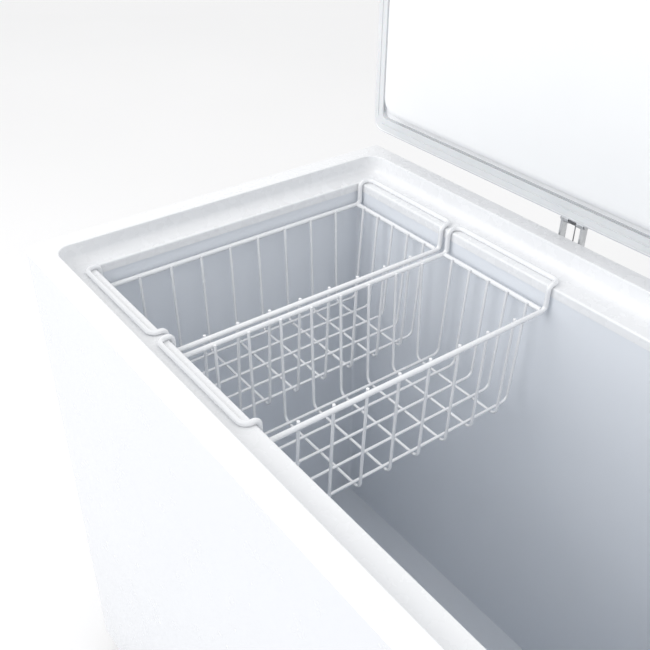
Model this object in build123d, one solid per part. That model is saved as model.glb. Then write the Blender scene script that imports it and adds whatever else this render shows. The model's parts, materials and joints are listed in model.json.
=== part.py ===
"""Chest freezer with its lid raised and two wire baskets hanging from the rim.

Millimetres, +Z up, +X along the cabinet's length, -Y towards the person who uses it.
It is modelled with the middle of the cabinet over X = Y = 0 and the floor at Z = 0, lid closed.
The lid is then turned open, and everything is moved so that the origin is the bottom centre of the whole.
"""

import math
import os

from build123d import *

# ---------------------------------------------------------------- driving dimensions
# cabinet
cabinet_length = 1060.0
cabinet_depth = 560.0
cabinet_height = 730.0  # base pan to rim top
front_corner = 12.0  # upright corner radius of the painted steel
rear_corner = 2.0
sheet = 1.0  # painted steel wrap, back panel
pan_sheet = 1.5

# rim collar
rim_band = 27.0  # flat top, measured from the outside inwards
ledge_long = 41.0  # ledge under the basket hooks, front and back
ledge_end = 18.0  # ledge at the two ends
rim_step = 29.0  # rim top down to the ledge
rim_hollow = 13.0  # concave radius between step and ledge
rim_skirt = 12.4  # ledge down to the seam with the liner
skirt_lip = 1.2  # the skirt stands this far proud of the liner
rim_wall = 2.0
recess_corner = 22.0  # upright corner radius of the recess inside the rim
crest_edge = 2.0
ledge_edge = 2.5  # rounded inner edge of the ledge, inside the baskets' hook bends
band_edge = 1.5
rim_lip = 5.0  # how far the collar's outer edge reaches down over the wrap

# liner, foam and machine compartment
liner_sheet = 1.0
liner_corner = 6.0
floor_foam = 68.0
bay_length = 239.0  # machine compartment, from the right-hand wrap inwards
bay_height = 232.0
bay_foam = 50.0  # foam between the compartment and the liner

# coils and lines
evaporator_radius = 4.0
condenser_radius = 2.5
coil_gap = 0.3  # between a coil and the sheet it lies against
groove_gap = 0.6  # between a coil and the foam around it
coil_top = 52.0  # highest run below the rim seam
coil_low = 151.0  # lowest run above the machine compartment
coil_runs = 4

# lid
lid_height = 58.0
lid_overhang = 3.0  # past the cabinet all round
lid_corner = 14.0
lid_edge = 7.0
lid_sheet = 1.2
plug_height = 22.0  # raised middle of the lid's liner
plug_gap = 8.0  # to the step all round
plug_corner = 26.0
plug_edge = 12.0
gasket_height = 8.0
gasket_width = 18.0
gasket_corner = 18.0
seal_gap = 0.3  # gasket to rim with the lid down
hinge_behind = 9.3  # hinge pin behind the cabinet's back
hinge_above = 20.0  # hinge pin over the rim top
hinge_spacing = 310.0
hinge_knuckle = 5.5
hinge_pin = 3.0
pin_clearance = 0.05
lid_opening = 90.0  # degrees

# wire baskets
frame_wire = 3.25  # radii
thin_wire = 1.9
weld = 0.3  # how deep two welded wires run into each other
basket_width = 174.2  # frame wire centre to centre
basket_drop = 148.3  # frame wire to basket floor
basket_gap = 14.0
basket_side_gap = 6.5  # first frame wire to the liner's end
seat_gap = 0.05  # hooks to ledge
riser_gap = 1.0  # upright part to the skirt
riser_offset = 5.0  # end wire to the upright part
hook_reach = 14.0  # wire on the ledge beyond the skirt
hook_bend = 7.0
hook_corner = 10.0
rail_drop = 30.7  # ledge down to the frame wire's centre
cross_hoops = 8
hoop_margin = 44.2  # outermost hoop to the end wire
long_wires = 5
long_margin = 21.3  # outermost long wire to the frame wire
hoop_taper = 6.0  # how far the basket narrows to its floor
end_taper = 9.0
basket_corner = 10.0
wire_tip = 2.8  # thin wires end this far above the frame wire's centre

# casters
wheel_radius = 20.0
wheel_width = 17.0
crown_gap = 6.5  # wheel to the top of the fork's crown
swivel_gap = 2.5  # crown to the caster plate
caster_inset_x = 78.0
caster_inset_y = 66.0
caster_trail = 12.0
caster_plate = 3.0
axle_radius = 3.0

# compressor
shell_radius = 72.0
shell_height = 165.0
grommet_height = 12.0
foot_sheet = 3.0

# front controls and drain
panel_width = 150.0
panel_height = 66.0
panel_depth = 5.0
knob_radius = 17.0
knob_depth = 15.0
drain_bore = 8.0
drain_wall = 2.0

# fasteners
screw_shank = 2.1
screw_head = 4.0
bolt_shank = 3.0
bolt_head = 5.0
hole_gap = 0.15

# ---------------------------------------------------------------- derived levels
half_length = cabinet_length / 2
half_depth = cabinet_depth / 2
fork_top = 2 * wheel_radius + crown_gap
plate_z = fork_top + swivel_gap
base_z = plate_z + caster_plate
rim_z = base_z + cabinet_height
ledge_z = rim_z - rim_step
seam_z = ledge_z - rim_skirt
wrap_z = rim_z - rim_lip
floor_z = base_z + pan_sheet + floor_foam + liner_sheet
recess_x = half_length - rim_band
recess_y = half_depth - rim_band
mouth_x = recess_x - ledge_end
mouth_y = recess_y - ledge_long
liner_x = mouth_x + skirt_lip
liner_y = mouth_y + skirt_lip
bay_x = half_length - sheet - bay_length
bay_z = base_z + pan_sheet + bay_height
step_x = bay_x - bay_foam
step_z = bay_z + bay_foam + liner_sheet
hinge_y = half_depth + hinge_behind
hinge_z = rim_z + hinge_above
lid_z = rim_z + gasket_height
lid_x = half_length + lid_overhang
lid_y = half_depth + lid_overhang
rail_z = ledge_z - rail_drop
hook_z = ledge_z + frame_wire + seat_gap
basket_z = rail_z - basket_drop

nodes = {}


def keep(name, *shapes):
    """Files one or more solids under a node's name."""
    nodes[name] = shapes[0] if len(shapes) == 1 else Compound(children=list(shapes))


# ---------------------------------------------------------------- shape helpers
def block(x, y, z):
    """A box between pairs of limits."""
    size = [high - low for low, high in (x, y, z)]
    middle = [(high + low) / 2 for low, high in (x, y, z)]
    return Pos(*middle) * Box(*size)


def centred(half_x, half_y, z):
    return block((-half_x, half_x), (-half_y, half_y), z)


def rounded(solid, radius):
    """Rounds the upright edges."""
    return fillet(solid.edges().filter_by(Axis.Z), radius)


def cabinet_block(inset, z):
    """The cabinet's outline, moved inwards, with its large front and small rear corners."""
    solid = centred(half_length - inset, half_depth - inset, z)
    uprights = solid.edges().filter_by(Axis.Z).sort_by(Axis.Y)
    solid = fillet(uprights[:2], front_corner - inset)
    if rear_corner > inset:
        uprights = solid.edges().filter_by(Axis.Z).sort_by(Axis.Y)
        solid = fillet(uprights[-2:], rear_corner - inset)
    return solid


def rod(start, end, radius):
    """A round bar between two points."""
    start, end = Vector(*start), Vector(*end)
    along = end - start
    bar = Cylinder(radius, along.length, align=(Align.CENTER, Align.CENTER, Align.MIN))
    return Plane(origin=start, z_dir=along) * bar


def tube(points, radius, bends, close=False):
    """A round wire or tube through points, bent at each corner."""
    path = FilletPolyline(*points, radius=bends, close=close)
    return sweep(Plane(origin=path @ 0, z_dir=path % 0) * Circle(radius), path=path)


def prism(points, start, end):
    """An outline in Y and Z, extruded along X."""
    outline = make_face(Polyline(*[(0, y, z) for y, z in points], close=True))
    return Pos(start, 0, 0) * extrude(outline, amount=end - start, dir=(1, 0, 0))


def grown(limits, amount):
    return limits[0] - amount, limits[1] + amount


def spread(limits, count):
    """Evenly spaced middles between two limits."""
    step = (limits[1] - limits[0]) / count
    return [limits[0] + step * (index + 0.5) for index in range(count)]


def union(shapes):
    first, *rest = shapes
    return first.fuse(*rest) if rest else first


# ---------------------------------------------------------------- fasteners
case_screws = []  # where each one's head bears, and which way it goes in
lid_screw_places = []


def fasteners(places, shank, head, length):
    """Pan-head screws as separate solids."""
    made = []
    for place, inward in places:
        place, inward = Vector(*place), Vector(*inward)
        pin = rod(place, place + inward * length, shank)
        cap = rod(place, place - inward * head * 0.6, head)
        outer_face = cap.faces().filter_by(GeomType.PLANE).sort_by(Axis(place, inward))[0]
        cap = chamfer(outer_face.edges(), head * 0.2)
        slot = head * 0.3
        driver = Plane(origin=place - inward * head * 0.6, z_dir=inward) * Box(head * 1.3, slot, head * 0.5)
        made.append((pin + cap) - driver)
    return made


def holes(places, shank, length):
    """Clearance for the same screws."""
    made = []
    for place, inward in places:
        place, inward = Vector(*place), Vector(*inward)
        made.append(rod(place - inward, place + inward * (length + 1.0), shank + hole_gap))
    return made


screw_length = 12.0
bolt_length = 9.0

# ---------------------------------------------------------------- hinges
hinge_middles = (-hinge_spacing / 2, hinge_spacing / 2)
hinge_sheet = 2.5
plate_reach = 25.0  # half the base plate's width
plate_low, plate_high = 80.0, 6.0  # below the rim top
bore_reach = 30.0
arm_sheet = 2.2
arm_height = 34.0  # above the pin
ear_inner, ear_outer = 14.0, 17.0
knuckle_inner, knuckle_outer = 6.5, ear_inner - 0.3


def along_hinge(start, end, radius):
    """A round bar on the hinge's axis."""
    return rod((start, hinge_y, hinge_z), (end, hinge_y, hinge_z), radius)


def hinge_bore(middle):
    return along_hinge(middle - bore_reach, middle + bore_reach, hinge_pin + pin_clearance)


def hinge_base(middle):
    """Plate screwed to the back, with two ears that carry the pin."""
    back = half_depth
    plate = block(
        (middle - plate_reach, middle + plate_reach), (back, back + hinge_sheet),
        (rim_z - plate_low, rim_z - plate_high))
    plate = fillet(plate.edges().filter_by(Axis.Y), 4)
    front, rear = hinge_y - hinge_knuckle, hinge_y + hinge_knuckle
    outline = [
        (back + hinge_sheet / 2, rim_z - plate_low + 8),
        (rear, rim_z - 34),
        (rear, hinge_z),
        (front, hinge_z),
        (front, rim_z - plate_high),
        (back + hinge_sheet / 2, rim_z - plate_high),
    ]
    pieces = [plate]
    for side in (-1, 1):
        low, high = sorted((middle + side * ear_inner, middle + side * ear_outer))
        pieces += [prism(outline, low, high), along_hinge(low, high, hinge_knuckle)]
    return union(pieces) - hinge_bore(middle)


def hinge_screw_places(middle):
    back = half_depth + hinge_sheet
    return [
        ((middle + dx, back, rim_z - dz), (0, -1, 0)) for dx in (-21, 21) for dz in (16, 70)
    ]


def hinge_arm(middle):
    """Plate on the lid's rear face with two knuckles; the spring sits in the slot between them."""
    front = lid_y
    plate = block(
        (middle - knuckle_outer, middle + knuckle_outer), (front, front + arm_sheet),
        (hinge_z - hinge_knuckle + 0.5, hinge_z + arm_height))
    slot = block(
        (middle - knuckle_inner, middle + knuckle_inner), (front - 1, front + 9), (hinge_z - 9, hinge_z + 10))
    knuckles = []
    for side in (-1, 1):
        start, end = middle + side * knuckle_inner, middle + side * knuckle_outer
        knuckles.append(along_hinge(start, end, hinge_knuckle))
    return union([plate, *knuckles]) - slot - hinge_bore(middle)


def arm_screw_places(middle):
    return [((middle, lid_y + arm_sheet, hinge_z + dz), (0, -1, 0)) for dz in (16, 28)]


def hinge_pin_piece(middle):
    """Pin with a head at one end and a peened end at the other."""
    pin = along_hinge(middle - ear_outer - 1, middle + ear_outer + 1, hinge_pin)
    heads = []
    for side in (-1, 1):
        start, end = [middle + side * (ear_outer + x) for x in (0.2, 2.2)]
        heads.append(along_hinge(start, end, hinge_pin + 1.5))
    return union([pin, *heads])


def hinge_spring(middle):
    """Torsion spring round the pin, with one leg against the base and one against the arm."""
    wire, mean, turns = 0.7, hinge_pin + 1.2, 5.25
    pitch = 2 * (knuckle_inner - wire - 0.4) / turns
    coil_path = Helix(pitch=pitch, height=pitch * turns, radius=mean)
    section = Plane(origin=coil_path @ 0, z_dir=coil_path % 0) * Circle(wire)
    coil = sweep(section, path=coil_path, is_frenet=True)
    low, high = coil_path @ 0, coil_path @ 1
    overlap, leg = 0.6, wire + 0.05
    arm_leg = rod(low + Vector(0, overlap, 0), low + Vector(0, -8, 0), leg)
    base_leg = rod(high + Vector(overlap, 0, 0), high + Vector(-30, 0, 0), leg)
    spring = union([coil, arm_leg, base_leg])
    place = Plane(origin=(middle - pitch * turns / 2, hinge_y, hinge_z), x_dir=(0, 0, 1), z_dir=(1, 0, 0))
    return place * spring


for middle in hinge_middles:
    case_screws += hinge_screw_places(middle)
    lid_screw_places += arm_screw_places(middle)
keep("hinge_bases", *[
    hinge_base(middle) - holes(hinge_screw_places(middle), screw_shank, screw_length)
    for middle in hinge_middles
])
keep("hinge_pins", *[hinge_pin_piece(middle) for middle in hinge_middles])
keep("hinge_springs", *[hinge_spring(middle) for middle in hinge_middles])

# ---------------------------------------------------------------- side grille and rear cover
grille_y = (-190.0, 110.0)
grille_z = (base_z + 42, base_z + 178)
cover_x = (bay_x + 14, half_length - 30)
cover_z = (base_z + 22, base_z + 214)
cover_lip = 10.0
grille_sheet = 3.0
cover_sheet = 2.0


def side_grille():
    """Moulded louvre panel over the machine compartment's end."""
    face = (half_length, half_length + grille_sheet)
    panel = block(face, grown(grille_y, cover_lip), grown(grille_z, cover_lip))
    panel = fillet(panel.edges().filter_by(Axis.X), 8)
    slots = [
        block(grown(face, 5), grown(columns, -5), (row - 3, row + 3))
        for row in spread(grille_z, 9)
        for columns in ((grille_y[0], sum(grille_y) / 2), (sum(grille_y) / 2, grille_y[1]))
    ]
    louvre_blade = Box(6, grille_y[1] - grille_y[0], 1.2)
    louvres = [
        Pos(half_length + grille_sheet / 2, sum(grille_y) / 2, row) * Rot(0, 35, 0) * louvre_blade
        for row in spread(grille_z, 9)
    ]
    inside = block((half_length - 4, half_length + grille_sheet), grille_y, grille_z)
    return union([panel - slots, *[louvre & inside for louvre in louvres]])


def rear_cover():
    """Pressed steel cover over the compartment's back, with rows of slots and the cord's hole."""
    face = (half_depth, half_depth + cover_sheet)
    panel = block(grown(cover_x, cover_lip), face, grown(cover_z, cover_lip))
    panel = fillet(panel.edges().filter_by(Axis.Y), 6)
    slots = [
        block((column - 20, column + 20), grown(face, 5), (row - 2.5, row + 2.5))
        for row in spread((cover_z[0] + 40, cover_z[1]), 9)
        for column in spread(cover_x, 3)
    ]
    return panel - slots - rod(cord_hole, (cord_hole[0], half_depth + 9, cord_hole[2]), gland_body)


gland_body, gland_flange, cord_bore = 7.0, 10.0, 4.0
cord_hole = (cover_x[0] + 22, half_depth - 6, cover_z[0] + 18)


def cord_gland():
    """Grommet where the supply cord would leave."""
    x, _, z = cord_hole
    back = half_depth
    body = rod((x, back - 3, z), (x, back + cover_sheet + 3, z), gland_body)
    flanges = [
        rod((x, back - 3, z), (x, back, z), gland_flange),
        rod((x, back + cover_sheet, z), (x, back + cover_sheet + 3, z), gland_flange),
    ]
    return union([body, *flanges]) - rod((x, back - 9, z), (x, back + 19, z), cord_bore)


grille_places = [
    ((half_length + grille_sheet, y, z), (-1, 0, 0))
    for y in (grille_y[0] - 4, grille_y[1] + 4)
    for z in (grille_z[0] - 4, grille_z[1] + 4)
]
cover_places = [
    ((x, half_depth + cover_sheet, z), (0, -1, 0))
    for x in (cover_x[0] - 5, cover_x[1] + 5)
    for z in (cover_z[0] + 8, sum(cover_z) / 2, cover_z[1] - 8)
]
case_screws += grille_places + cover_places
keep("side_grille", side_grille() - holes(grille_places, screw_shank, screw_length))
keep("rear_cover", rear_cover() - holes(cover_places, screw_shank, screw_length))
keep("cord_gland", cord_gland())

# ---------------------------------------------------------------- casters and base
caster_x = half_length - caster_inset_x
caster_y = half_depth - caster_inset_y
plate_half = 26.0
fork_sheet = 2.5
fork_half = wheel_width / 2 + 1.5
kingpin = 5.0
wheel_z = wheel_radius


def caster_plate_piece(x, y):
    """Square plate with the short kingpin that a fork turns on."""
    plate = block(grown((x, x), plate_half), grown((y, y), plate_half), (plate_z, base_z))
    head = rod((x, y, fork_top - 3), (x, y, fork_top - fork_sheet - 0.2), kingpin + 2)
    return union([rounded(plate, 5), rod((x, y, plate_z + 0.5), (x, y, fork_top - 3), kingpin), head])


def fork(x, y):
    """Two cheeks under a round crown; the wheel trails behind the kingpin."""
    crown_z = (fork_top - fork_sheet, fork_top)
    crown = rod((x, y, fork_top), (x, y, crown_z[0]), 15)
    crown += block(grown((x, x), fork_half + fork_sheet), (y - 8, y + caster_trail), crown_z)
    axle_y = y + caster_trail
    outline = [
        (y - 10, fork_top),
        (y + 14, fork_top),
        (axle_y + 7, wheel_z - 2),
        (axle_y + 3, wheel_z - 7),
        (axle_y - 3, wheel_z - 7),
        (axle_y - 7, wheel_z - 2),
    ]
    cheeks = []
    for side in (-1, 1):
        low, high = sorted((x + side * fork_half, x + side * (fork_half + fork_sheet)))
        cheeks.append(prism(outline, low, high))
    bore = rod((x, y, base_z), (x, y, fork_top - 9), kingpin + pin_clearance)
    return union([crown, *cheeks]) - bore - axle(x, axle_y, hole_gap)


def axle(x, y, extra=0.0):
    reach = fork_half + fork_sheet + 1.5
    return rod((x - reach, y, wheel_z), (x + reach, y, wheel_z), axle_radius + extra)


def wheel(x, y):
    """Moulded wheel with a rounded tread, a dished side and a hub bore."""
    half = wheel_width / 2
    disc = rod((x - half, y, wheel_z), (x + half, y, wheel_z), wheel_radius)
    disc = fillet(disc.edges().filter_by(GeomType.CIRCLE), 2.5)
    for side in (-1, 1):
        face, depth = x + side * half, x + side * (half - 3)
        dish = rod((face, y, wheel_z), (depth, y, wheel_z), wheel_radius - 5)
        dish -= rod((face, y, wheel_z), (depth, y, wheel_z), axle_radius + 4)
        disc -= dish
    return disc - rod((x - half - 1, y, wheel_z), (x + half + 1, y, wheel_z), axle_radius + pin_clearance)


def fixed_bracket(x, y):
    """Rigid caster: plate and cheeks in one pressing."""
    plate = rounded(block(grown((x, x), plate_half), grown((y, y), plate_half), (plate_z, base_z)), 5)
    outline = [
        (y - 14, plate_z + 1),
        (y + 14, plate_z + 1),
        (y + 7, wheel_z - 5),
        (y, wheel_z - 7),
        (y - 7, wheel_z - 5),
    ]
    cheeks = []
    for side in (-1, 1):
        low, high = sorted((x + side * fork_half, x + side * (fork_half + fork_sheet)))
        cheeks.append(prism(outline, low, high))
    return union([plate, *cheeks]) - axle(x, y, hole_gap)


def bolt_places(x, y):
    reach = plate_half - 6
    return [((x + dx, y + dy, plate_z), (0, 0, 1)) for dx in (-reach, reach) for dy in (-reach, reach)]


sides = {"left": -caster_x, "right": caster_x}
caster_places = []
for name, x in sides.items():
    caster_places += bolt_places(x, -caster_y) + bolt_places(x, caster_y)
    keep(f"caster_fork_{name}", fork(x, -caster_y))
    keep(f"caster_axle_{name}", axle(x, caster_trail - caster_y))
    keep(f"front_wheel_{name}", wheel(x, caster_trail - caster_y))
    keep(f"rear_wheel_{name}", wheel(x, caster_y))
caster_holes = holes(caster_places, bolt_shank, bolt_length)
keep("caster_plates", *[caster_plate_piece(x, -caster_y) - caster_holes for x in sides.values()])
keep("rear_caster_brackets", *[fixed_bracket(x, caster_y) - caster_holes for x in sides.values()])
keep("rear_axles", *[axle(x, caster_y) for x in sides.values()])

# ---------------------------------------------------------------- compressor and refrigerant circuit
shell_x = (bay_x + half_length - sheet) / 2 - 8
shell_y = 10.0
pan_z = base_z + pan_sheet
foot_z = pan_z + grommet_height
shell_z = foot_z + foot_sheet
feet = [(shell_x + dx, shell_y + dy) for dx in (-80, 80) for dy in (-52, 52)]
stub_end = shell_x + shell_radius + 8
suction_stub = (stub_end, shell_y - 28, shell_z + 80)
discharge_stub = (stub_end, shell_y + 28, shell_z + 48)


def shell_bar(low, high, radius):
    """A round bar on the compressor's axis, between heights above its foot plate."""
    return rod((shell_x, shell_y, shell_z + low), (shell_x, shell_y, shell_z + high), radius)


def compressor():
    """Welded hermetic shell with a belt seam, foot plate and two tube stubs."""
    can = shell_bar(-0.5, shell_height, shell_radius)
    can = fillet(can.edges().filter_by(GeomType.CIRCLE).sort_by(Axis.Z)[-1], 44)
    can = fillet(can.edges().filter_by(GeomType.CIRCLE).sort_by(Axis.Z)[0], 14)
    seam = shell_bar(92, 97, shell_radius + 3)
    plate = rounded(block((shell_x - 92, shell_x + 92), (shell_y - 64, shell_y + 64), (foot_z, shell_z)), 14)
    stubs = [
        rod((shell_x + 50, y, z), (x, y, z), radius)
        for (x, y, z), radius in ((suction_stub, evaporator_radius), (discharge_stub, condenser_radius))
    ]
    bolt_ways = [rod((x, y, foot_z - 1), (x, y, shell_z + 1), bolt_shank + hole_gap) for x, y in feet]
    return union([can, seam, plate, *stubs]) - bolt_ways


def grommet(x, y):
    """Rubber foot with a waist."""
    body = rod((x, y, pan_z), (x, y, foot_z), 11) - (
        rod((x, y, pan_z + 4), (x, y, foot_z - 4), 12) - rod((x, y, pan_z), (x, y, foot_z), 8.5)
    )
    return body - rod((x, y, pan_z - 1), (x, y, foot_z + 1), bolt_shank + hole_gap)


def start_relay():
    """Plastic box clipped to the shell, over its terminals."""
    reach = shell_radius + 38
    box = block((shell_x - 27, shell_x + 27), (shell_y - reach, shell_y - 50), (shell_z + 30, shell_z + 84))
    box = fillet(box.edges().filter_by(Axis.Y), 5)
    return box - shell_bar(0, 90, shell_radius + 0.4)


def serpentine(x, y, turn_y, riser_y, levels, drop_z, tail=()):
    """Points of a coil that runs round one end, the front and the other end, level by level."""
    points = [(x, riser_y, drop_z), (x, riser_y, levels[0])]
    for number, level in enumerate(levels):
        outward = 1 if number % 2 == 0 else -1
        if number:
            points.append((outward * x, turn_y, level))
        points += [(outward * x, -y, level), (-outward * x, -y, level), (-outward * x, turn_y, level)]
    return points + [(x, turn_y, drop_z), *tail]


drop_z = bay_z - 24
coil_pitch = (seam_z - coil_top - bay_z - coil_low) / (coil_runs - 1)
levels = [seam_z - coil_top - coil_pitch * number for number in range(coil_runs)]
evaporator_x = liner_x + liner_sheet + coil_gap + evaporator_radius
evaporator_y = liner_y + liner_sheet + coil_gap + evaporator_radius
evaporator_bend = liner_corner + liner_sheet + coil_gap + evaporator_radius
condenser_x = half_length - sheet - coil_gap - condenser_radius
condenser_y = half_depth - sheet - coil_gap - condenser_radius
drier_x = condenser_x - 20
evaporator_turn, evaporator_riser = mouth_y - 60, mouth_y - 20
condenser_turn, condenser_riser = half_depth - 80, half_depth - 34
evaporator_points = serpentine(
    evaporator_x, evaporator_y, evaporator_turn, evaporator_riser, levels, drop_z)
condenser_points = serpentine(
    condenser_x, condenser_y, condenser_turn, condenser_riser, levels, drop_z,
    tail=[(drier_x, condenser_turn, drop_z), (drier_x, condenser_turn, drop_z - 16)],
)
condenser_bend = 7.5
keep("evaporator_coil", tube(evaporator_points, evaporator_radius, evaporator_bend))
keep("condenser_coil", tube(condenser_points, condenser_radius, condenser_bend))
keep("compressor", compressor())
keep("compressor_grommets", *[grommet(x, y) for x, y in feet])
keep("start_relay", start_relay())

suction_points = [
    (evaporator_x, evaporator_turn, drop_z),
    (evaporator_x, evaporator_turn, suction_stub[2]),
    (evaporator_x, suction_stub[1], suction_stub[2]),
    suction_stub,
]
discharge_points = [
    discharge_stub,
    (discharge_stub[0] + 26, discharge_stub[1], discharge_stub[2]),
    (discharge_stub[0] + 26, condenser_riser, discharge_stub[2]),
    (condenser_x, condenser_riser, discharge_stub[2]),
    (condenser_x, condenser_riser, drop_z),
]
drier_top, drier_foot = drop_z - 16, drop_z - 104
capillary_points = [
    (drier_x, condenser_turn, drier_foot),
    (drier_x, condenser_turn, drier_foot - 18),
    (drier_x - 44, condenser_turn, drier_foot - 18),
    (drier_x - 44, condenser_turn, drop_z - 14),
    (drier_x - 44, evaporator_riser, drop_z - 14),
    (evaporator_x, evaporator_riser, drop_z - 14),
    (evaporator_x, evaporator_riser, drop_z),
]


def filter_drier():
    """Copper can with necked ends."""
    x, y = drier_x, condenser_turn
    can = rod((x, y, drier_foot + 12), (x, y, drier_top - 12), 9)
    can = fillet(can.edges().filter_by(GeomType.CIRCLE), 5)
    capillary_neck = rod((x, y, drier_foot), (x, y, drier_foot + 14), 2.6)
    condenser_neck = rod((x, y, drier_top - 14), (x, y, drier_top), 3.6)
    return union([can, capillary_neck, condenser_neck])


keep("suction_line", tube(suction_points, evaporator_radius, 7.0))
keep("discharge_line", tube(discharge_points, condenser_radius, 7.0))
keep("filter_drier", filter_drier())
keep("capillary_tube", tube(capillary_points, 1.2, 6.0))

# ---------------------------------------------------------------- front controls
panel_x = (bay_x + half_length) / 2 - 12
panel_z = base_z + 88.0
panel_front = -half_depth - panel_depth
knob_x = panel_x - 44
switch_x = panel_x + 52
lamp_places = [panel_x - 4 + 17 * number for number in range(3)]
shaft_radius = 3.0
window_x = grown((panel_x, panel_x), panel_width / 2 - 8)
window_z = grown((panel_z, panel_z), panel_height / 2 - 8)
switch_half = (9.0, 12.0)
switch_tilt = 6.0  # degrees each way
switch_pivot = Axis((switch_x, panel_front + 2, panel_z), (1, 0, 0))
lamp_radius = 3.2


def control_panel():
    """Front moulding that covers the window in the wrap."""
    panel = block(
        grown((panel_x, panel_x), panel_width / 2), (panel_front, -half_depth),
        grown((panel_z, panel_z), panel_height / 2))
    panel = fillet(panel.edges().filter_by(Axis.Y), 9)
    panel = fillet(panel.faces().sort_by(Axis.Y)[0].edges(), 2)
    well = rod((knob_x, panel_front - 1, panel_z), (knob_x, panel_front + 1.5, panel_z), knob_radius + 3)
    shaft_way = rod((knob_x, panel_front - 1, panel_z), (knob_x, 0, panel_z), shaft_radius + 0.4)
    ways = [rod((x, panel_front - 1, panel_z), (x, 0, panel_z), lamp_radius) for x in lamp_places]
    switch_way = block(
        grown((switch_x, switch_x), switch_half[0] + 0.6), (panel_front - 1, -half_depth + 1),
        grown((panel_z, panel_z), switch_half[1] + 0.6))
    return panel - [well, shaft_way, switch_way, *ways]


def thermostat_knob():
    """Round knob with a finger bar, a pointer groove and its shaft."""
    front = panel_front - knob_depth
    skirt = rod((knob_x, panel_front + 0.8, panel_z), (knob_x, front + 9, panel_z), knob_radius)
    skirt = fillet(skirt.faces().sort_by(Axis.Y)[0].edges(), 1.5)
    bar = block((knob_x - 4, knob_x + 4), (front, front + 10), (panel_z - 14, panel_z + 14))
    bar = fillet(bar.edges().filter_by(Axis.Y), 2)
    pointer = block((knob_x - 0.7, knob_x + 0.7), (front - 1, front + 0.6), (panel_z + 4, panel_z + 15))
    shaft = rod((knob_x, panel_front + 0.8, panel_z), (knob_x, -half_depth + 14, panel_z), shaft_radius)
    return union([skirt, bar, shaft]) - pointer


def freeze_switch():
    """Rocker with a shallow vee front, its lower end pressed in."""
    half_x, half_z = switch_half
    front = panel_front
    outline = [
        (front - 3.4, panel_z - half_z + 0.5),
        (front - 0.6, panel_z),
        (front - 2.6, panel_z + half_z - 0.5),
        (front + 5, panel_z + half_z - 3),
        (front + 5, panel_z - half_z + 3),
    ]
    rocker = prism(outline, switch_x - half_x, switch_x + half_x)
    return rocker.rotate(switch_pivot, switch_tilt)


def control_box():
    """Thermostat and switch housing behind the panel."""
    box = block(
        (knob_x - 20, switch_x + 14), (-half_depth + 4, -half_depth + 44), grown((panel_z, panel_z), 19))
    box = fillet(box.edges().filter_by(Axis.Y), 3)
    box += block(
        (knob_x - 30, switch_x + 24), (-half_depth + sheet, -half_depth + 4), grown((panel_z, panel_z), 11))
    bore = rod((knob_x, -half_depth - 1, panel_z), (knob_x, -half_depth + 16, panel_z), shaft_radius + 0.1)
    pocket = block(
        grown((switch_x, switch_x), switch_half[0] + 1), (-half_depth, -half_depth + 8),
        grown((panel_z, panel_z), switch_half[1]))
    ways = [
        rod((x, -half_depth - 1, panel_z), (x, -half_depth + 6, panel_z), lamp_radius + 0.2)
        for x in lamp_places
    ]
    return box - [bore, pocket, *ways]


def lens(x):
    """Domed lamp lens."""
    body = rod((x, -half_depth + 2, panel_z), (x, panel_front - 1.2, panel_z), lamp_radius)
    return fillet(body.faces().sort_by(Axis.Y)[0].edges(), 1.1)


keep("control_panel", control_panel())
keep("thermostat_knob", thermostat_knob())
keep("freeze_switch", freeze_switch())
keep("control_box", control_box())
keep("indicator_lenses", *[lens(x) for x in lamp_places])

# ---------------------------------------------------------------- drain
drain_x = -mouth_x + 75
drain_y = -mouth_y + 45
drain_z = base_z + 30
drain_outer = drain_bore + drain_wall
drain_front = -half_depth - 9
drain_bend = 22.0
drain_path = [
    (drain_x, drain_y, floor_z - liner_sheet),
    (drain_x, drain_y, drain_z),
    (drain_x, drain_front, drain_z),
]
drain_solid = tube(drain_path, drain_outer, drain_bend)
spout_flange = rod((drain_x, -half_depth, drain_z), (drain_x, -half_depth - 3, drain_z), drain_outer + 8)
keep("drain_pipe", union([drain_solid, spout_flange]) - tube(drain_path, drain_bore, drain_bend))
cap_start, cap_end = -half_depth - 3.3, drain_front - 5
cap = rod((drain_x, cap_start, drain_z), (drain_x, cap_end, drain_z), drain_outer + 4)
cap = fillet(cap.faces().sort_by(Axis.Y)[0].edges(), 1.5)
grips = []
grip_count = 12
for number in range(grip_count):
    angle = 2 * math.pi * number / grip_count
    x = drain_x + (drain_outer + 5) * math.cos(angle)
    z = drain_z + (drain_outer + 5) * math.sin(angle)
    grips.append(rod((x, cap_start + 1, z), (x, cap_end - 1, z), 2.0))
cap_socket = rod((drain_x, cap_start + 1, drain_z), (drain_x, drain_front - 0.5, drain_z), drain_outer + 0.3)
keep("drain_cap", cap - grips - cap_socket)


def drain_plug():
    """Rubber bung in the liner's floor, with a finger ring."""
    stem = rod((drain_x, drain_y, floor_z - 12), (drain_x, drain_y, floor_z + 0.3), drain_bore - 0.3)
    flange = rod((drain_x, drain_y, floor_z + 0.3), (drain_x, drain_y, floor_z + 3.3), drain_outer + 4)
    flange = fillet(flange.faces().sort_by(Axis.Z)[-1].edges(), 1.2)
    ring = Pos(drain_x, drain_y, floor_z + 7.5) * Rot(90, 0, 0) * Torus(5.5, 1.6)
    return union([stem, flange, ring])


keep("drain_plug", drain_plug())

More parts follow.
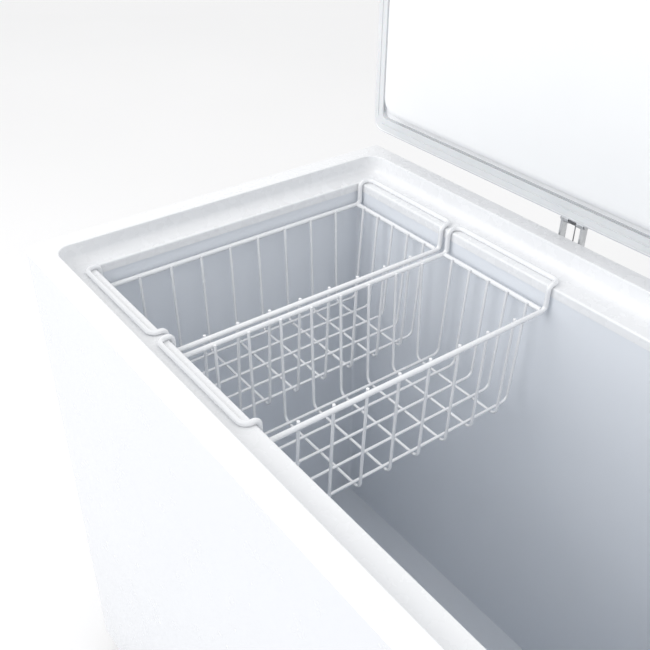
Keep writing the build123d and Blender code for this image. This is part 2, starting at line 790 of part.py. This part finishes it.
# ---------------------------------------------------------------- cabinet sheets, liner, collar and foam
window = [
    block(window_x, (-half_depth - 5, -half_depth + 5), window_z),
    block((half_length - 5, half_length + 5), grille_y, grille_z),
    rod((drain_x, -half_depth - 5, drain_z), (drain_x, -half_depth + 5, drain_z), drain_outer),
]
cover_window = block(cover_x, (half_depth - 5, half_depth + 5), cover_z)
screw_ways = holes(case_screws, screw_shank, screw_length)


def recess(extra):
    """The rim's recess above the ledge, with its concave lower edge."""
    solid = centred(recess_x + extra, recess_y + extra, (ledge_z - extra, rim_z + 20))
    solid = rounded(solid, recess_corner + extra)
    return fillet(solid.faces().sort_by(Axis.Z)[0].edges(), rim_hollow + extra)


def mouth(extra, z):
    return rounded(centred(mouth_x + extra, mouth_y + extra, z), liner_corner + extra)


def well(extra):
    """The storage space with the step over the machine compartment."""
    space = centred(liner_x + extra, liner_y + extra, (floor_z - extra, seam_z))
    space -= block((step_x + extra, half_length), (-half_depth, half_depth), (0, step_z - extra))
    return rounded(space, liner_corner + extra)


def outer_wrap():
    """One steel sheet bent round the front and both ends."""
    shell = cabinet_block(0, (base_z, wrap_z)) - cabinet_block(sheet, (base_z - 1, wrap_z + 1))
    behind = centred(half_length - sheet, half_depth - sheet, (base_z - 1, wrap_z + 1))
    shell -= Pos(0, cabinet_depth / 2, 0) * behind
    return shell - window - screw_ways


def back_panel():
    panel = block(
        (sheet - half_length, half_length - sheet), (half_depth - sheet, half_depth), (base_z, wrap_z))
    return panel - cover_window - screw_ways


def base_pan():
    pan = cabinet_block(sheet, (base_z, pan_z))
    pan = pan & centred(half_length, half_depth - sheet, (0, pan_z))
    bolt_ways = [rod((x, y, base_z - 1), (x, y, pan_z + 1), bolt_shank + hole_gap) for x, y in feet]
    return pan - caster_holes - bolt_ways


def top_collar():
    """Moulded rim: flat band, step, ledge and skirt, all one thin wall."""
    outside = cabinet_block(0, (wrap_z, rim_z))
    outside = fillet(outside.faces().sort_by(Axis.Z)[-1].edges(), crest_edge)
    inside = centred(recess_x + rim_wall, recess_y + rim_wall, (seam_z, rim_z - 3))
    shape = union([outside, rounded(inside, recess_corner + rim_wall)])
    shape = shape - recess(0) - mouth(0, (seam_z - 1, rim_z + 30))
    crest = shape.faces().filter_by(Plane.XY).sort_by(Axis.Z)[-1]
    shape = fillet(crest.inner_wires()[0].edges(), band_edge)
    ledge_edges = [
        edge for edge in shape.edges()
        if abs(edge.center().Z - ledge_z) < 0.01 and abs(edge.center().X) < mouth_x + 0.1
        and abs(edge.center().Y) < mouth_y + 0.1
    ]
    shape = fillet(ledge_edges, ledge_edge)
    hollow = cabinet_block(rim_wall, (seam_z - 10, rim_z - rim_wall))
    hollow = hollow - recess(rim_wall) - mouth(rim_wall, (seam_z - 20, rim_z + 30))
    return shape - hollow


def inner_liner():
    """White sheet tub with the step at the right-hand end."""
    drain_way = rod((drain_x, drain_y, floor_z - 5), (drain_x, drain_y, floor_z + 5), drain_bore)
    return well(liner_sheet) - well(0) - drain_way


def foam_insulation():
    """Everything between the sheets, foamed in place round the coils and the drain."""
    body = cabinet_block(sheet, (pan_z, wrap_z)) & centred(half_length, half_depth - sheet, (0, rim_z))
    crown = cabinet_block(rim_wall, (wrap_z - 1, rim_z - rim_wall))
    foam = union([body, crown])
    bay = block((bay_x, half_length), (-half_depth, half_depth), (0, bay_z))
    grooves = [
        tube(evaporator_points, evaporator_radius + groove_gap, evaporator_bend),
        tube(condenser_points, condenser_radius + groove_gap, condenser_bend),
        tube(drain_path, drain_outer, drain_bend),
    ]
    collar_space = [recess(rim_wall), mouth(rim_wall, (seam_z, rim_z + 30))]
    return foam - bay - well(liner_sheet) - collar_space - grooves - screw_ways - caster_holes


keep("outer_wrap", outer_wrap())
keep("back_panel", back_panel())
keep("base_pan", base_pan())
keep("top_collar", top_collar())
keep("inner_liner", inner_liner())
keep("foam_insulation", foam_insulation())
keep("case_screws", *fasteners(case_screws, screw_shank, screw_head, screw_length))
caster_bolts = fasteners(caster_places, bolt_shank, bolt_head, bolt_length)
foot_places = [((x, y, shell_z), (0, 0, -1)) for x, y in feet]
foot_bolts = fasteners(foot_places, bolt_shank, bolt_head, shell_z - base_z)
keep("base_bolts", *caster_bolts, *foot_bolts)


# ---------------------------------------------------------------- lid, built closed
def lid_block(inset, z):
    return rounded(centred(lid_x - inset, lid_y - inset, z), lid_corner - inset)


lid_top = lid_z + lid_height
plug_x = recess_x - plug_gap
plug_y = recess_y - plug_gap
lid_liner_sheet = 1.5
arm_holes = holes(lid_screw_places, screw_shank, screw_length)


def lid_skin():
    """Pressed steel tray, open underneath."""
    tray = lid_block(0, (lid_z, lid_top))
    tray = fillet(tray.faces().sort_by(Axis.Z)[-1].edges(), lid_edge)
    space = lid_block(lid_sheet, (lid_z - 1, lid_top - lid_sheet))
    space = fillet(space.faces().sort_by(Axis.Z)[-1].edges(), lid_edge - lid_sheet)
    return tray - space - arm_holes


def lid_plug(inset):
    """Raised middle of the lid's liner, with drafted, rounded edges."""
    plug = centred(plug_x - inset, plug_y - inset, (lid_z - plug_height + inset, lid_z + 5))
    plug = rounded(plug, plug_corner - inset)
    return fillet(plug.faces().sort_by(Axis.Z)[0].edges(), plug_edge - inset)


def lid_liner():
    """Thermoformed white sheet that closes the tray from below."""
    flange = lid_block(lid_sheet, (lid_z, lid_z + lid_liner_sheet))
    shape = flange + lid_plug(0) & centred(lid_x, lid_y, (0, lid_z + lid_liner_sheet))
    return shape - lid_plug(lid_liner_sheet)


def lid_foam():
    space = lid_block(lid_sheet, (lid_z + lid_liner_sheet, lid_top - lid_sheet))
    space = fillet(space.faces().sort_by(Axis.Z)[-1].edges(), lid_edge - lid_sheet)
    fill = lid_plug(lid_liner_sheet) & centred(lid_x, lid_y, (0, lid_z + lid_liner_sheet + 1))
    return space + fill - arm_holes


def lid_gasket():
    """Magnetic bellows seal: a soft ring with a grooved face."""
    out_x = recess_x + (rim_band + gasket_width) / 2
    out_y = recess_y + (rim_band + gasket_width) / 2
    low = rim_z + seal_gap

    def ring(inset, width, z):
        outer = rounded(centred(out_x - inset, out_y - inset, z), gasket_corner)
        inner = centred(out_x - inset - width, out_y - inset - width, z)
        return outer - rounded(inner, gasket_corner / 2)

    body = ring(0, gasket_width, (low, lid_z))
    side_groove = ring(-1, 3.5, (low + 3, low + 5)) + ring(gasket_width - 2.5, 3.5, (low + 3, low + 5))
    return body - side_groove - ring(gasket_width / 2 - 1, 2, (low - 1, low + 0.8))


handle_half = 110.0
handle_depth = 26.0
handle_z = (lid_z + 8, lid_z + 42)
handle_wall = 4.0


def lid_handle():
    """Moulded pull with a finger pocket open underneath."""
    front = -lid_y
    body = block((-handle_half, handle_half), (front - handle_depth, front), handle_z)
    outer_edges = body.edges().filter_by(Axis.X).sort_by(Axis.Y)[:2]
    body = fillet(outer_edges, 7)
    body = fillet(body.faces().sort_by(Axis.Y)[0].edges().filter_by(Axis.Z), 6)
    pocket = block(
        (-handle_half + 8, handle_half - 8), (front - handle_depth + 5, front - handle_wall),
        (handle_z[0] - 1, handle_z[1] - 6))
    return body - rounded(pocket, 3)


lid_pieces = {
    "lid_skin": lid_skin(),
    "lid_liner": lid_liner(),
    "lid_foam": lid_foam(),
    "lid_gasket": lid_gasket(),
    "lid_handle": lid_handle(),
    "hinge_arms": Compound(children=[
        hinge_arm(middle) - holes(arm_screw_places(middle), screw_shank, screw_length)
        for middle in hinge_middles
    ]),
    "lid_screws": Compound(children=fasteners(lid_screw_places, screw_shank, screw_head, screw_length)),
}
hinge_axis = Axis((0, hinge_y, hinge_z), (1, 0, 0))
for name, shape in lid_pieces.items():
    keep(name, shape.rotate(hinge_axis, -lid_opening))


# ---------------------------------------------------------------- baskets
half_rail = basket_width / 2
riser_y = mouth_y - riser_gap - frame_wire
end_y = riser_y - riser_offset
hook_y = mouth_y + hook_reach
hoop_pitch = 2 * (end_y - hoop_margin) / (cross_hoops - 1)
long_pitch = 2 * (half_rail - long_margin) / (long_wires - 1)


def basket_frame(x):
    """One closed wire: two rails that rise at both ends, bend outwards and join along the ledge."""
    corners, bends = [], []
    for side in (1, -1):
        right, left = x + side * half_rail, x - side * half_rail
        ends = side * riser_y, side * hook_y
        corners += [
            (right, ends[0], rail_z), (right, ends[0], hook_z), (right, ends[1], hook_z),
            (left, ends[1], hook_z), (left, ends[0], hook_z), (left, ends[0], rail_z),
        ]
        bends += [hook_bend, hook_bend, hook_corner, hook_corner, hook_bend, hook_bend]
    return tube(corners, frame_wire, bends, close=True)


def end_wire(x, y):
    reach = half_rail - frame_wire + weld
    return rod((x - reach, y, rail_z), (x + reach, y, rail_z), frame_wire)


def u_wire(top, foot, low, place):
    """Thin wire down one wall, across the floor and up the other; place puts (across, z) into space."""
    outline = [(-top, rail_z + wire_tip), (-foot, low), (foot, low), (top, rail_z + wire_tip)]
    return tube([place(across, z) for across, z in outline], thin_wire, basket_corner)


def cross_hoop(x, y):
    top = half_rail - frame_wire - thin_wire + weld
    low = basket_z - thin_wire + weld / 2
    return u_wire(top, top - hoop_taper, low, lambda across, z: (x + across, y, z))


def long_wire(x):
    top = end_y - frame_wire - thin_wire + weld
    low = basket_z + thin_wire - weld / 2
    return u_wire(top, top - end_taper, low, lambda across, z: (x, across, z))


basket_x = {"left": -mouth_x + basket_side_gap + half_rail}
basket_x["right"] = basket_x["left"] + basket_width + basket_gap
for side, x in basket_x.items():
    keep(f"basket_{side}_frame", basket_frame(x))
    keep(f"basket_{side}_end_wires", end_wire(x, end_y), end_wire(x, -end_y))
    keep(f"basket_{side}_hoops", *[
        cross_hoop(x, hoop_pitch * (number - (cross_hoops - 1) / 2)) for number in range(cross_hoops)
    ])
    keep(f"basket_{side}_long_wires", *[
        long_wire(x + long_pitch * (number - (long_wires - 1) / 2)) for number in range(long_wires)
    ])

# ---------------------------------------------------------------- move to the final frame and write
whole = Compound(children=[shape.moved(Location()) for shape in nodes.values()]).bounding_box()
shift = Vector(-(whole.min.X + whole.max.X) / 2, -(whole.min.Y + whole.max.Y) / 2, -whole.min.Z)
os.makedirs("parts", exist_ok=True)
for name, shape in nodes.items():
    export_step(shape.moved(Location(shift)), f"parts/{name}.step")
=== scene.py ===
"""Chest freezer with its lid raised: surfaces, soft light and the camera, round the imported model."""

import json
import math

import bpy
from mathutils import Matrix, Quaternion, Vector


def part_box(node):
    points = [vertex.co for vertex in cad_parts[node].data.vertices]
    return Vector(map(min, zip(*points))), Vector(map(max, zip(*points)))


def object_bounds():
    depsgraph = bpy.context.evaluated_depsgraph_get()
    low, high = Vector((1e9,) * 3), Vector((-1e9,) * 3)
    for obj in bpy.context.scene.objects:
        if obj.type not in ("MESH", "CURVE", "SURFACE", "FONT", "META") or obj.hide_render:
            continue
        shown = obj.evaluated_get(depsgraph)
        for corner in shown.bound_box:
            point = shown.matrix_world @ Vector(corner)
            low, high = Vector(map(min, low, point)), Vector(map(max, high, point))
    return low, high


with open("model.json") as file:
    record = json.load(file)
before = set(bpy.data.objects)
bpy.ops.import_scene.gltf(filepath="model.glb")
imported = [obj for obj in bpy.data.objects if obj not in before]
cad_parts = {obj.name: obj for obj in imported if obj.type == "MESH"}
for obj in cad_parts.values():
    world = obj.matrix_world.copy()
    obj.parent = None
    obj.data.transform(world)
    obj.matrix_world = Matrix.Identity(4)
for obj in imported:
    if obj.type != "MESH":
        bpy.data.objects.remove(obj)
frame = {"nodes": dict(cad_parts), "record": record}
cad_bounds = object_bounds()
nodes = frame["nodes"]

# ---------------------------------------------------------------- materials
# Texture coordinates are the object's own, so every scale below is in repeats per metre.
usual_low, usual_high = 0.3, 0.7  # where nearly all of a noise texture's values lie


class Surface:
    """A Principled material with a patchy colour, an uneven gloss and a fine relief."""

    def __init__(self, name, colour, roughness, **sockets):
        self.material = bpy.data.materials.new(name)
        self.material.use_nodes = True
        self.tree = self.material.node_tree
        self.shader = self.tree.nodes["Principled BSDF"]
        self.colour = colour
        self.roughness = roughness
        self.coordinates = self.tree.nodes.new("ShaderNodeTexCoord").outputs["Object"]
        self.relief = None
        for socket, value in sockets.items():
            self.shader.inputs[socket.replace("_", " ")].default_value = value

    def node(self, kind, links=None, **values):
        made = self.tree.nodes.new(kind)
        for name, value in values.items():
            setattr(made, name, value)
        for socket, source in (links or {}).items():
            target = made.inputs[socket]
            if isinstance(source, bpy.types.NodeSocket):
                self.tree.links.new(source, target)
            else:
                target.default_value = source
        return made

    def stretched(self, factors):
        """Object coordinates scaled unevenly, for brushing or streaks."""
        made = self.node("ShaderNodeMapping", {"Vector": self.coordinates, "Scale": factors})
        return made.outputs["Vector"]

    def noise(self, scale, detail=3.0, distortion=0.0, vector=None):
        made = self.node("ShaderNodeTexNoise", {
            "Vector": vector or self.coordinates,
            "Scale": scale,
            "Detail": detail,
            "Distortion": distortion,
        })
        return made.outputs["Fac"]

    def cells(self, scale, output="Distance", feature="F1"):
        links = {"Vector": self.coordinates, "Scale": scale}
        return self.node("ShaderNodeTexVoronoi", links, feature=feature).outputs[output]

    def span(self, source, low, high):
        """Maps a texture's usual range onto another one."""
        made = self.node("ShaderNodeMapRange", {
            "Value": source,
            "From Min": usual_low,
            "From Max": usual_high,
            "To Min": low,
            "To Max": high,
        })
        return made.outputs["Result"]

    def patches(self, source, other):
        """Runs the base colour towards another one where the texture is high."""
        ramp = self.node("ShaderNodeMix", data_type="RGBA")
        self.tree.links.new(self.span(source, 0.0, 1.0), ramp.inputs["Factor"])
        ramp.inputs["A"].default_value = (*self.colour, 1.0)
        ramp.inputs["B"].default_value = (*other, 1.0)
        self.tree.links.new(ramp.outputs["Result"], self.shader.inputs["Base Color"])
        return self

    def gloss(self, source, spread):
        low, high = self.roughness - spread, self.roughness + spread
        self.tree.links.new(self.span(source, low, high), self.shader.inputs["Roughness"])
        return self

    def bump(self, source, height, strength=1.0):
        """Adds relief of a height in metres; several are chained."""
        made = self.node("ShaderNodeBump", {"Height": source, "Distance": height, "Strength": strength})
        if self.relief:
            self.tree.links.new(self.relief, made.inputs["Normal"])
        self.relief = made.outputs["Normal"]
        self.tree.links.new(self.relief, self.shader.inputs["Normal"])
        return self


def painted_steel():
    """Smooth white enamel with the faint orange peel of sprayed steel."""
    s = Surface("painted_steel", (0.70, 0.717, 0.75), 0.24, Coat_Weight=0.35, Coat_Roughness=0.08)
    s.patches(s.noise(3.0), (0.687, 0.704, 0.738)).gloss(s.noise(45.0), 0.04)
    return s.bump(s.noise(420.0, 2.0), 0.00006, 0.35).material


def rim_moulding():
    """Glossy white moulding, slightly uneven where it cooled."""
    s = Surface("rim_moulding", (0.875, 0.885, 0.90), 0.27, Coat_Weight=0.15, Coat_Roughness=0.12)
    s.patches(s.noise(6.0), (0.865, 0.876, 0.893)).gloss(s.noise(60.0), 0.04)
    return s.bump(s.noise(9.0, 1.0), 0.0004, 0.12).bump(s.noise(900.0, 2.0), 0.00003, 0.3).material


def liner_sheet():
    """Cool white coated sheet with a faint stucco."""
    s = Surface("liner_sheet", (0.80, 0.83, 0.875), 0.36, Specular_IOR_Level=0.45)
    s.patches(s.noise(4.0), (0.775, 0.81, 0.86)).gloss(s.noise(30.0), 0.06)
    s.bump(s.noise(12.0, 1.0), 0.0012, 0.3)
    return s.bump(s.cells(380.0, feature="SMOOTH_F1"), 0.00008, 0.25).material


def coated_wire():
    """Dipped white coating, thicker and thinner along the wire."""
    s = Surface("coated_wire", (0.88, 0.89, 0.905), 0.22, Coat_Weight=0.4, Coat_Roughness=0.06)
    s.patches(s.noise(35.0), (0.85, 0.862, 0.885)).gloss(s.noise(120.0), 0.06)
    return s.bump(s.noise(150.0, 2.0), 0.00035, 0.5).bump(s.noise(1400.0, 1.0), 0.00004, 0.4).material


def lid_sheet():
    """Thermoformed white sheet with a matt grain."""
    s = Surface("lid_sheet", (0.90, 0.91, 0.922), 0.38)
    s.patches(s.noise(5.0), (0.885, 0.897, 0.911)).gloss(s.noise(40.0), 0.05)
    return s.bump(s.noise(16.0, 1.0), 0.0008, 0.3).bump(s.noise(1500.0, 2.0), 0.00005, 0.35).material


def gasket_vinyl():
    """Soft pale grey vinyl."""
    s = Surface("gasket_vinyl", (0.74, 0.75, 0.765), 0.55, Subsurface_Weight=0.05)
    s.patches(s.noise(20.0), (0.70, 0.712, 0.73)).gloss(s.noise(80.0), 0.08)
    return s.bump(s.noise(260.0, 3.0), 0.00015, 0.4).material


def moulded(name, colour, other, roughness, grain=1100.0):
    """Injection-moulded plastic with spark-eroded grain."""
    s = Surface(name, colour, roughness)
    s.patches(s.noise(25.0), other).gloss(s.noise(90.0), 0.06)
    return s.bump(s.cells(grain, feature="SMOOTH_F1"), 0.00008, 0.45).material


def galvanised(name, colour=(0.62, 0.632, 0.645), scale=240.0):
    """Zinc-coated sheet with its spangle."""
    s = Surface(name, colour, 0.38, Metallic=0.85)
    crystal = s.node("ShaderNodeSeparateColor", {"Color": s.cells(scale, "Color")}).outputs["Red"]
    s.patches(crystal, tuple(0.93 * c for c in colour)).gloss(crystal, 0.05)
    return s.bump(s.noise(600.0, 2.0), 0.00004, 0.4).material


def turned_steel(name, colour=(0.52, 0.53, 0.545), roughness=0.3):
    """Plated fasteners, pins and axles with fine tool marks."""
    s = Surface(name, colour, roughness, Metallic=0.95)
    marks = s.noise(700.0, 4.0, vector=s.stretched((0.2, 1.0, 1.0)))
    s.patches(s.noise(120.0), tuple(0.8 * c for c in colour)).gloss(marks, 0.1)
    return s.bump(marks, 0.00004, 0.5).material


def drawn_tube(name, colour, other):
    """Drawn metal tube, dulled in patches by handling and heat."""
    s = Surface(name, colour, 0.32, Metallic=0.95)
    s.patches(s.noise(38.0, 5.0, 0.4), other).gloss(s.noise(60.0, 4.0), 0.12)
    return s.bump(s.noise(900.0, 2.0), 0.00004, 0.3).material


def black_paint():
    """Thick black enamel on a pressed shell."""
    s = Surface("compressor_black", (0.012, 0.012, 0.013), 0.3, Coat_Weight=0.3, Coat_Roughness=0.15)
    s.patches(s.noise(18.0), (0.022, 0.022, 0.024)).gloss(s.noise(50.0), 0.08)
    return s.bump(s.noise(320.0, 2.0), 0.0001, 0.5).material


def rubber():
    s = Surface("black_rubber", (0.018, 0.018, 0.019), 0.62)
    s.patches(s.noise(60.0), (0.035, 0.035, 0.036)).gloss(s.noise(150.0), 0.08)
    return s.bump(s.noise(800.0, 3.0), 0.0001, 0.5).material


def foam():
    """Rigid yellowish foam with closed cells."""
    s = Surface("foam", (0.80, 0.72, 0.48), 0.85)
    s.patches(s.noise(30.0, 5.0), (0.70, 0.60, 0.36))
    return s.bump(s.cells(420.0), 0.0006, 0.6).bump(s.noise(60.0, 4.0), 0.001, 0.5).material


def lens():
    """Tinted lamp lens with fine prisms."""
    s = Surface("lens", (0.10, 0.42, 0.14), 0.12, Transmission_Weight=0.55, IOR=1.49)
    s.patches(s.noise(300.0), (0.07, 0.34, 0.10))
    return s.bump(s.cells(1500.0), 0.0001, 0.5).material


finishes = {
    "painted_steel": painted_steel(),
    "zinc_steel": galvanised("zinc_steel"),
    "rim_moulding": rim_moulding(),
    "liner_sheet": liner_sheet(),
    "foam": foam(),
    "coated_wire": coated_wire(),
    "lid_sheet": lid_sheet(),
    "gasket_vinyl": gasket_vinyl(),
    "handle_plastic": moulded("handle_plastic", (0.80, 0.81, 0.83), (0.78, 0.79, 0.812), 0.32),
    "spring_steel": turned_steel("spring_steel", (0.34, 0.345, 0.36), 0.34),
    "fastener_steel": turned_steel("fastener_steel"),
    "copper_tube": drawn_tube("copper_tube", (0.72, 0.34, 0.20), (0.42, 0.20, 0.13)),
    "aluminium_tube": drawn_tube("aluminium_tube", (0.72, 0.73, 0.74), (0.58, 0.59, 0.60)),
    "compressor_black": black_paint(),
    "black_rubber": rubber(),
    "dark_plastic": moulded("dark_plastic", (0.03, 0.03, 0.032), (0.045, 0.045, 0.047), 0.5),
    "grey_plastic": moulded("grey_plastic", (0.46, 0.48, 0.50), (0.42, 0.44, 0.46), 0.42),
    "panel_plastic": moulded("panel_plastic", (0.66, 0.69, 0.72), (0.63, 0.66, 0.69), 0.3, 1600.0),
    "lens": lens(),
    "wheel_plastic": moulded("wheel_plastic", (0.035, 0.035, 0.037), (0.05, 0.05, 0.052), 0.48, 800.0),
}
for entry in frame["record"]["subparts"]:
    node = nodes[entry["node"]]
    node.data.materials.clear()
    node.data.materials.append(finishes[entry["material_slot"]])

# ---------------------------------------------------------------- floor, light and camera
floor_size = 40.0
floor_gap = 0.0005  # floor below the wheels
sky_strength = 0.95


def flat_sheet(name, size, height, material):
    """A square of floor."""
    mesh = bpy.data.meshes.new(name)
    half = size / 2
    corners = [(x * half, y * half, height) for x, y in ((-1, -1), (1, -1), (1, 1), (-1, 1))]
    mesh.from_pydata(corners, [], [(0, 1, 2, 3)])
    made = bpy.data.objects.new(name, mesh)
    made.data.materials.append(material)
    bpy.context.scene.collection.objects.link(made)
    return made


def floor_material():
    s = Surface("floor", (0.93, 0.93, 0.935), 0.6)
    s.patches(s.noise(0.8), (0.91, 0.91, 0.915)).gloss(s.noise(20.0), 0.05)
    return s.bump(s.noise(120.0), 0.0002, 0.3).material


object_low = cad_bounds[0]
flat_sheet("floor", floor_size, object_low.z - floor_gap, floor_material())


def softbox(name, place, target, size, power):
    """A rectangular lamp in front of the object, in metres and watts."""
    light = bpy.data.lights.new(name, "AREA")
    light.shape = "RECTANGLE"
    light.size, light.size_y = size
    light.energy = power
    made = bpy.data.objects.new(name, light)
    made.location = place
    made.rotation_mode = "QUATERNION"
    made.rotation_quaternion = (Vector(target) - Vector(place)).to_track_quat("-Z", "Y")
    bpy.context.scene.collection.objects.link(made)


rim_low, rim_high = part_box("top_collar")
rim_middle = (rim_low + rim_high) / 2
softbox("low_softbox", (-0.9, -3.0, 1.6), rim_middle, (2.2, 1.2), 15.0)
softbox("high_softbox", (-0.6, -2.4, 2.9), rim_middle, (2.2, 1.4), 27.0)
world = bpy.data.worlds.new("studio")
world.use_nodes = True
sky = world.node_tree.nodes["Background"].inputs
sky["Color"].default_value = (1.0, 1.0, 1.0, 1.0)
sky["Strength"].default_value = sky_strength
bpy.context.scene.world = world
bpy.context.scene.view_settings.view_transform = "Standard"

view_azimuth, view_elevation, view_roll = (math.radians(a) for a in (53.11, 33.98, 0.5))
looked_at = Vector((-0.2415, -0.0580, 0.7328))  # on the right basket's rim
view_distance = 1.0
back = Vector((
    math.sin(view_azimuth) * math.cos(view_elevation),
    -math.cos(view_azimuth) * math.cos(view_elevation),
    math.sin(view_elevation),
))
camera = bpy.data.cameras.new("camera")
camera.sensor_width = 36.0
camera.lens = 47.4
camera.shift_x, camera.shift_y = 0.0049, -0.0026
camera_object = bpy.data.objects.new("camera", camera)
camera_object.location = looked_at + back * view_distance
camera_object.rotation_mode = "QUATERNION"
camera_object.rotation_quaternion = (-back).to_track_quat("-Z", "Y") @ Quaternion((0, 0, 1), view_roll)
bpy.context.scene.collection.objects.link(camera_object)
bpy.context.scene.camera = camera_object
